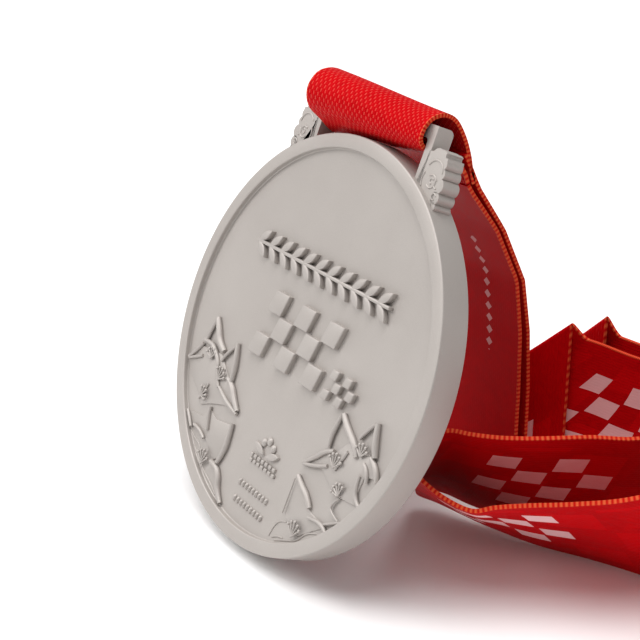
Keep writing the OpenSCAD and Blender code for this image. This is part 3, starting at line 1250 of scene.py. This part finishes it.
# The neck loop, standing on its edge: x, y, lift of the lower edge, lean in x, lean in y
ROUTE = np.array(
    [
        (30, 57.5, 0, 0, 0), (60, 67, 0, 0, 0), (95, 69, 0, 0, 0), (126, 67.5, 0, 0, 0),
        (134, 62, 0, 0, 0), (126, 56.5, 0, 0, 0), (95, 55.5, 0, 0, 0), (66, 54.5, 0, 1, -2),
        (47, 51, 0, 6, -6.5), (39.7, 46, 0, 9.1, -9.7), (34, 38.5, 1, 10.5, -9.8),
        (28, 32.5, 2, 11.8, -11.5), (22.5, 28, 3, 13.2, -12.5), (17.5, 24.5, 4, 14.5, -12.8),
        (12.5, 22, 5, 16, -13), (9.5, 19, 5.5, 17.5, -14.5), (10.5, 16.5, 5.5, 19, -16),
        (15, 18.5, 5, 20, -17.3), (22.2, 22, 3.5, 19.5, -18), (26.5, 24.7, 2.5, 18.2, -17.4),
        (31.7, 29.1, 0.8, 16.2, -16.9), (38, 33.9, 0, 14.8, -16), (45.4, 37.6, 0, 13.4, -14.2),
        (52, 40.2, 0, 11, -11.5), (66, 45, 0, 4, -5), (95, 47, 0, 0, 0), (124, 46.5, 0, 0, 0),
        (141, 60, 0, 0, 0), (124, 74, 0, 0, 0), (100, 74.9, 0, 0, 0), (72, 71.6, 0, 0, 0),
        (44, 64.6, 0, 0, 0),
    ],
    float,
)
# Side profiles of the two layers of the strap: y and z, from the bar down
OUTER_LINE = (
    (17.92, 44.31), (24.3, 31.2), (30.7, 22.1), (36.2, 11), (38.2, 0), (39, -12), (39.2, -25), (39.2, -60),
)
INNER_LINE = (
    (20.2, 35.2), (22.4, 31.1), (29, 22.4), (34.6, 11.3), (36.2, 0), (36.6, -12), (36.6, -25), (36.6, -60),
)


def neck_place(t: float, h: float) -> np.ndarray:
    """Point on the neck loop.

    Args:
        t: station along the route.
        h: millimetres up the ribbon's width.

    Returns:
        The point in millimetres.
    """
    x, y, lift, lean_x, lean_y = curve_at(ROUTE, t)
    rise = math.sqrt(RIBBON_WIDTH**2 - lean_x**2 - lean_y**2)
    share = h / RIBBON_WIDTH
    return np.array((x + lean_x * share, y + lean_y * share, GROUND + lift + rise * share))


@dataclass(frozen=True)
class StrapCorner:
    """A strap that comes down behind the disc, turns up and rolls round to run off to the right."""

    line: tuple
    lift: float
    depth: float
    start: float
    slope: float
    knee: float
    end: float
    rest: float
    radius: float = 1.0

    @property
    def bottom(self) -> float:
        """Height at which the bottom turn begins."""
        return GROUND + self.lift + self.depth

    @property
    def roll_rise(self) -> float:
        """Height the diagonal roll takes up."""
        return math.pi * self.radius / math.sqrt(2)

    @property
    def low(self) -> float:
        """Lower edge of the run before it settles."""
        return self.bottom + 1 + self.roll_rise

    @staticmethod
    def ease(value: float) -> float:
        """Smooth step from 0 to 1."""
        c = min(max(value, 0.0), 1.0)
        return c * c * (3 - 2 * c)

    @staticmethod
    def boxy(value: float) -> float:
        """Signed square root, which squares off a round turn."""
        return math.copysign(math.sqrt(abs(value)), value)

    def profile(self, z: float) -> float:
        """Depth of the strap at a height."""
        return float(np.interp(-z, [-p[1] for p in self.line], [p[0] for p in self.line]))

    def run_y(self, x: float) -> float:
        """Depth of the run at a place across."""
        return self.start + self.slope * (x + self.knee + math.sqrt((x - self.knee) ** 2 + 25)) / 2

    def turn_z(self, w: float) -> float:
        """Height at which the diagonal roll begins."""
        return self.low + w + HALF_WIDTH - self.roll_rise

    def corner(self, d: float, w: float) -> np.ndarray:
        """Point past the diagonal roll.

        Args:
            d: millimetres along the ribbon from the start of the roll.
            w: millimetres across from the centre line.

        Returns:
            The point in millimetres.
        """
        turn = min(max(d / self.radius, 0), math.pi)
        rest = max(d, 0) - self.radius * turn
        back = (d + rest - self.radius * math.sin(turn)) / math.sqrt(2)
        x = w + back
        sink = (
            self.low - GROUND - self.rest
        ) * self.ease((x + 8) / 24) + self.rest * self.ease((x - 17) / 12)
        z = self.turn_z(w) + math.sqrt(2) * d - back - sink * (1 - math.cos(turn)) / 2
        return np.array((x, self.run_y(x) - self.radius * (1 + math.cos(turn)), z))

    def row(self, top: float, s: float, w: float) -> np.ndarray:
        """Point by row: down to 1, round the bottom to 2, up to 3, round the diagonal to 4, away to 5.

        Args:
            top: height of the first row.
            s: the row.
            w: millimetres across from the centre line.

        Returns:
            The point in millimetres.
        """
        roll = math.pi * self.radius
        near, far = self.profile(self.bottom), self.run_y(w) - 2 * self.radius
        if s <= 1:
            z = top + (self.bottom - top) * s
            return np.array((w, self.profile(z), z))
        if s <= 2:
            a = math.pi * (s - 1)
            y = near + (far - near) * (1 - self.boxy(math.cos(a))) / 2
            return np.array((w, y, self.bottom - self.depth * self.boxy(math.sin(a))))
        if s <= 3:
            return np.array((w, far, self.bottom + (self.turn_z(w) - self.bottom) * (s - 2)))
        if s <= 4:
            return self.corner(roll * (s - 3), w)
        return self.corner(roll + ((math.sqrt(2) * (self.end - w) + roll) / 2 - roll) * (s - 4), w)


OUTER_CORNER = StrapCorner(OUTER_LINE, 1.5, 1.6, 44.82, 0.42, -3, 30, 1.4)
INNER_CORNER = StrapCorner(INNER_LINE, 0.4, 2.2, 59, 0.127, -100, 44, 0)
OUTER_TOP = 38.0
INNER_TOP = 32.1

# Stretches of the neck loop: side, kind, first and last station, rows, how it is held
NECK_STRETCHES = (
    ("inner", "run", 0, 3, 36, "laid"),
    ("inner", "turn", 3, 5, 28, "folded"),
    ("middle", "run", 5, 13, 72, "laid"),
    ("left", "turn", 13, 18, 50, "folded"),
    ("near", "run", 18, 26, 72, "laid"),
    ("outer", "turn", 26, 28, 36, "folded"),
    ("outer", "run", 28, 31, 36, "laid"),
)


@dataclass
class Stretch:
    """One stretch of the ribbon, laid on a grid of places from its first row to its last."""

    name: str
    nodes: tuple
    place: Callable[[float, float], np.ndarray]
    start: float
    end: float
    rows: int
    across: int = 16
    held: str = "folded"
    rests_on: tuple = ()
    along: float = 0.0

    def grid(self) -> np.ndarray:
        """Places of the stretch in millimetres, rows by columns.

        Returns:
            An array of rows, columns and coordinates.
        """
        rows = np.linspace(self.start, self.end, self.rows + 1)
        cols = np.linspace(0, RIBBON_WIDTH, self.across + 1)
        return np.array([[self.place(s, w) for w in cols] for s in rows])

    def build(self) -> tuple[bpy.types.Object, float]:
        """Lays the cloth and gives it its thickness.

        Returns:
            The piece and its length in millimetres.
        """
        grid = self.grid()
        steps = np.linalg.norm(np.diff(grid, axis=0), axis=2)
        lengths = np.vstack([np.zeros(self.across + 1), np.cumsum(steps, axis=0)])
        Bench.clear()
        bpy.ops.mesh.primitive_grid_add(
            x_subdivisions=self.across, y_subdivisions=self.rows, size=1, calc_uvs=True
        )
        obj = bpy.context.object
        where = {}
        for vertex in obj.data.vertices:
            col = round((vertex.co.x + 0.5) * self.across)
            row = round((vertex.co.y + 0.5) * self.rows)
            where[vertex.index] = (row, col)
        for vertex in obj.data.vertices:
            vertex.co = Vector(grid[where[vertex.index]]) * MM
        layer = obj.data.uv_layers.active
        layer.name = "UVMap"
        mean = lengths.mean(axis=1)
        for loop in obj.data.loops:
            row, col = where[loop.vertex_index]
            v = self.along + mean[row]
            layer.data[loop.index].uv = (RIBBON_WIDTH * col / self.across / 100, v / 100)
        Bench.pick(obj)
        made = obj.modifiers.new("cloth", "SOLIDIFY")
        made.thickness = CLOTH * MM
        made.offset = 0
        made.use_even_offset = False
        bpy.ops.object.modifier_apply(modifier=made.name)
        Bench.smooth(obj, 50)
        return obj, float(mean[-1])


@dataclass
class LoopShape:
    """Cloth round the bar: open and full at the left end, tighter at the right."""

    left: tuple = (
        (14.9, 38.6), (13.2, 40.9), (11.6, 43.2), (8.9, 46.4), (5.0, 49.2), (0.4, 50.1),
        (-3.0, 48.8), (-4.4, 46.2), (-4.1, 43.9), (-2.6, 42.0), (0.4, 40.7), (3.4, 39.3),
        (6.9, 38.9), (9.55, 38.9), (11.98, 38.5), (13.6, 37.5),
    )
    right: tuple = (
        (14.9, 38.6), (13.2, 40.9), (11.6, 43.2), (9.2, 45.8), (6.2, 48.0), (3.5, 48.4),
        (1.2, 47.3), (0.1, 45.7), (-0.2, 44.2), (0.0, 42.9), (1.2, 41.9), (3.6, 41.6),
        (6.9, 41.5), (9.55, 41.3), (11.98, 40.0), (13.6, 38.3),
    )
    clearance: float = 0.1

    def place(self, t: float, w: float) -> np.ndarray:
        """Point of the loop.

        Args:
            t: place round the bar, counting the listed points.
            w: millimetres across from the right end.

        Returns:
            The point in millimetres.
        """
        share = w / RIBBON_WIDTH
        ease = share * share * (3 - 2 * share) * 0.4 + share * 0.6
        a, b = curve_at(np.array(self.right, float), t), curve_at(np.array(self.left, float), t)
        depth, up = a * (1 - ease) + b * ease
        across = HALF_WIDTH - w
        if -0.5 < depth < DISC_THICKNESS + 0.5:
            rim = math.sqrt((DISC_RADIUS + 0.05) ** 2 - across**2)
            up = max(up, rim + CLOTH / 2 + self.clearance)
        place = UPRIGHT_TO_LEANING @ Vector((across * MM, depth * MM, up * MM))
        return np.array(place) / MM


@dataclass
class NeckRibbon:
    """The printed ribbon, in stretches that follow on from each other."""

    shop: Workshop
    satin: bpy.types.Material
    strap_satin: bpy.types.Material
    outer_satin: bpy.types.Material
    plain: bpy.types.Material
    thread: bpy.types.Material
    loop: LoopShape = field(default_factory=LoopShape)

    def stretches(self) -> list[tuple[Stretch, bpy.types.Material]]:
        """Every stretch in order, with its finish.

        Returns:
            The stretches.
        """
        def strap(corner: StrapCorner, top: float) -> Callable[[float, float], np.ndarray]:
            return lambda s, w: corner.row(top, s, HALF_WIDTH - w)

        outer, inner = strap(OUTER_CORNER, OUTER_TOP), strap(INNER_CORNER, INNER_TOP)
        seam = ("seam_stitches",)
        loop = Stretch(
            "bar_loop", ("ribbon_loop", "ribbon_tail"), self.loop.place, 0, 15, 60, rests_on=("ribbon_bar",)
        )
        down = Stretch("outer_strap", ("strap_back",), outer, 0, 1, 40, held="hung", rests_on=seam)
        away = Stretch("outer_strap_fold", ("strap_fold_back",), outer, 1, 5, 80)
        back = Stretch("inner_strap_fold", ("strap_fold_front",), inner, 5, 1, 80)
        up = Stretch("inner_strap", ("strap_front",), inner, 1, 0, 40, held="hung", rests_on=seam)
        neck = [
            Stretch(f"{side}_{kind}", (f"neck_{kind}_{side}",), neck_place, start, end, rows, held=held)
            for side, kind, start, end, rows, held in NECK_STRETCHES
        ]
        printed = [(stretch, self.satin) for stretch in [away, *neck, back]]
        return [(loop, self.plain), (down, self.outer_satin), *printed, (up, self.strap_satin)]

    def build(self) -> None:
        self.stitches()
        along = 0.0
        for stretch, finish in self.stretches():
            stretch.along = 0.0 if stretch.name == "inner_strap" else along
            obj, length = stretch.build()
            along += length
            self.dress(obj, stretch, finish, length)

    def dress(
        self, obj: bpy.types.Object, stretch: Stretch, finish: bpy.types.Material, length: float,
    ) -> None:
        """Hands one stretch over.

        Args:
            obj: the piece.
            stretch: the stretch it is.
            finish: its material.
            length: its length in millimetres.
        """
        if stretch.name == "bar_loop":
            obj.name = obj.data.name = stretch.name
            obj.data.materials.append(finish)
            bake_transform(obj)
            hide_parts(*stretch.nodes)
        else:
            self.shop.deliver(obj, stretch.name, Body.RIBBON, Slot.RIBBON, finish, stretch.nodes)
        length * MM
        LOG.info("%s: %.1f mm of ribbon", stretch.name, length)

    def stitches(self) -> None:
        """Two rows of stitches across the seam."""
        count, pitch, margin = 18, 1.68, 1.1
        path = ((0, -0.1, 0.1), (0.3, 0.12, 0.17), (0.9, 0.12, 0.17), (1.2, -0.1, 0.1))
        parts = []
        for y, z in ((24.0, 33.1), (24.95, 31.3)):
            for i in range(count):
                x = -HALF_WIDTH + margin + i * pitch
                parts.append(Bench.rod([(x + along, y + out, z, thick) for along, out, thick in path]))
        obj = Bench.join(parts)
        Bench.smooth(obj, 60)
        self.shop.deliver(obj, "seam_stitches", Body.RIBBON, Slot.THREAD, self.thread, ("seam_stitching",))


# ------------------------------------------------------------------ studio


@dataclass
class Studio:
    """Floor, soft light and camera."""

    eye: tuple = (0.20368, -0.12979, 0.10242)
    right: tuple = (0.538017, 0.842934, -0.00006)
    up: tuple = (-0.313981, 0.200471, 0.928023)
    back: tuple = (0.782274, -0.499273, 0.372522)
    lens: float = 77.93

    def camera(self) -> None:
        """Places the camera."""
        data = bpy.data.cameras.new("view")
        data.lens = self.lens
        data.sensor_width = 36
        data.clip_start, data.clip_end = 0.01, 20
        cam = bpy.data.objects.new("view", data)
        bpy.context.scene.collection.objects.link(cam)
        turn = Matrix((self.right, self.up, self.back)).transposed()
        cam.matrix_world = Matrix.Translation(self.eye) @ turn.to_4x4()
        bpy.context.scene.camera = cam

    def floor(self) -> None:
        """Lays the pale floor."""
        Bench.clear()
        bpy.ops.mesh.primitive_plane_add(size=6, location=(0, 0, GROUND * MM - 0.0002))
        obj = bpy.context.object
        Bench.settle(obj)
        obj.name = "floor"
        obj.data.materials.append(FloorPaint().make())

    def lamp(
        self, name: str, place: Sequence[float], aim: Sequence[float], size: float, power: float,
    ) -> None:
        """Adds one soft lamp.

        Args:
            name: its name.
            place: where it stands, in metres.
            aim: what it points at.
            size: its width.
            power: its power in watts.
        """
        data = bpy.data.lights.new(name, "AREA")
        data.shape = "DISK"
        data.size = size
        data.energy = power
        obj = bpy.data.objects.new(name, data)
        obj.location = place
        obj.rotation_euler = (Vector(aim) - Vector(place)).to_track_quat("-Z", "Y").to_euler()
        bpy.context.scene.collection.objects.link(obj)

    def build(self) -> None:
        """Sets up the whole studio."""
        scene = bpy.context.scene
        scene.view_settings.view_transform = "Standard"
        world = bpy.data.worlds.new("studio")
        world.use_nodes = True
        world.node_tree.nodes["Background"].inputs["Color"].default_value = (1, 1, 1, 1)
        world.node_tree.nodes["Background"].inputs["Strength"].default_value = 0.42
        scene.world = world
        self.floor()
        self.lamp("key", (-1.20, -1.30, 1.40), (0, 0, 0), 1.3, 27)
        self.lamp("top", (0.10, -0.15, 2.40), (0.04, 0.03, 0), 2.2, 55)


def main() -> None:
    """Builds the medal, its ribbon and the studio."""
    logging.basicConfig(level=logging.INFO, format="%(message)s")
    studio = Studio()
    studio.camera()
    studio.build()
    shop = Workshop(CastMetal().make())
    Disc(shop).build()
    CloudEar(shop, -1, "left").build()
    CloudEar(shop, 1, "right").build()
    Relief(shop).build()
    CarriedMetal(shop).build()
    NeckRibbon(
        shop,
        satin=Satin().make(),
        strap_satin=Satin(name="strap_satin", printed=False, weave=0.03, beads=(28, 54)).make(),
        outer_satin=Satin(name="outer_satin", printed=False, weave=0.03).make(),
        plain=Satin(name="plain_satin", printed=False, weave=0.16, flecked=True).make(),
        thread=SewingThread().make(),
    ).build()
    Bench.clear()


if __name__ == "__main__":
    main()
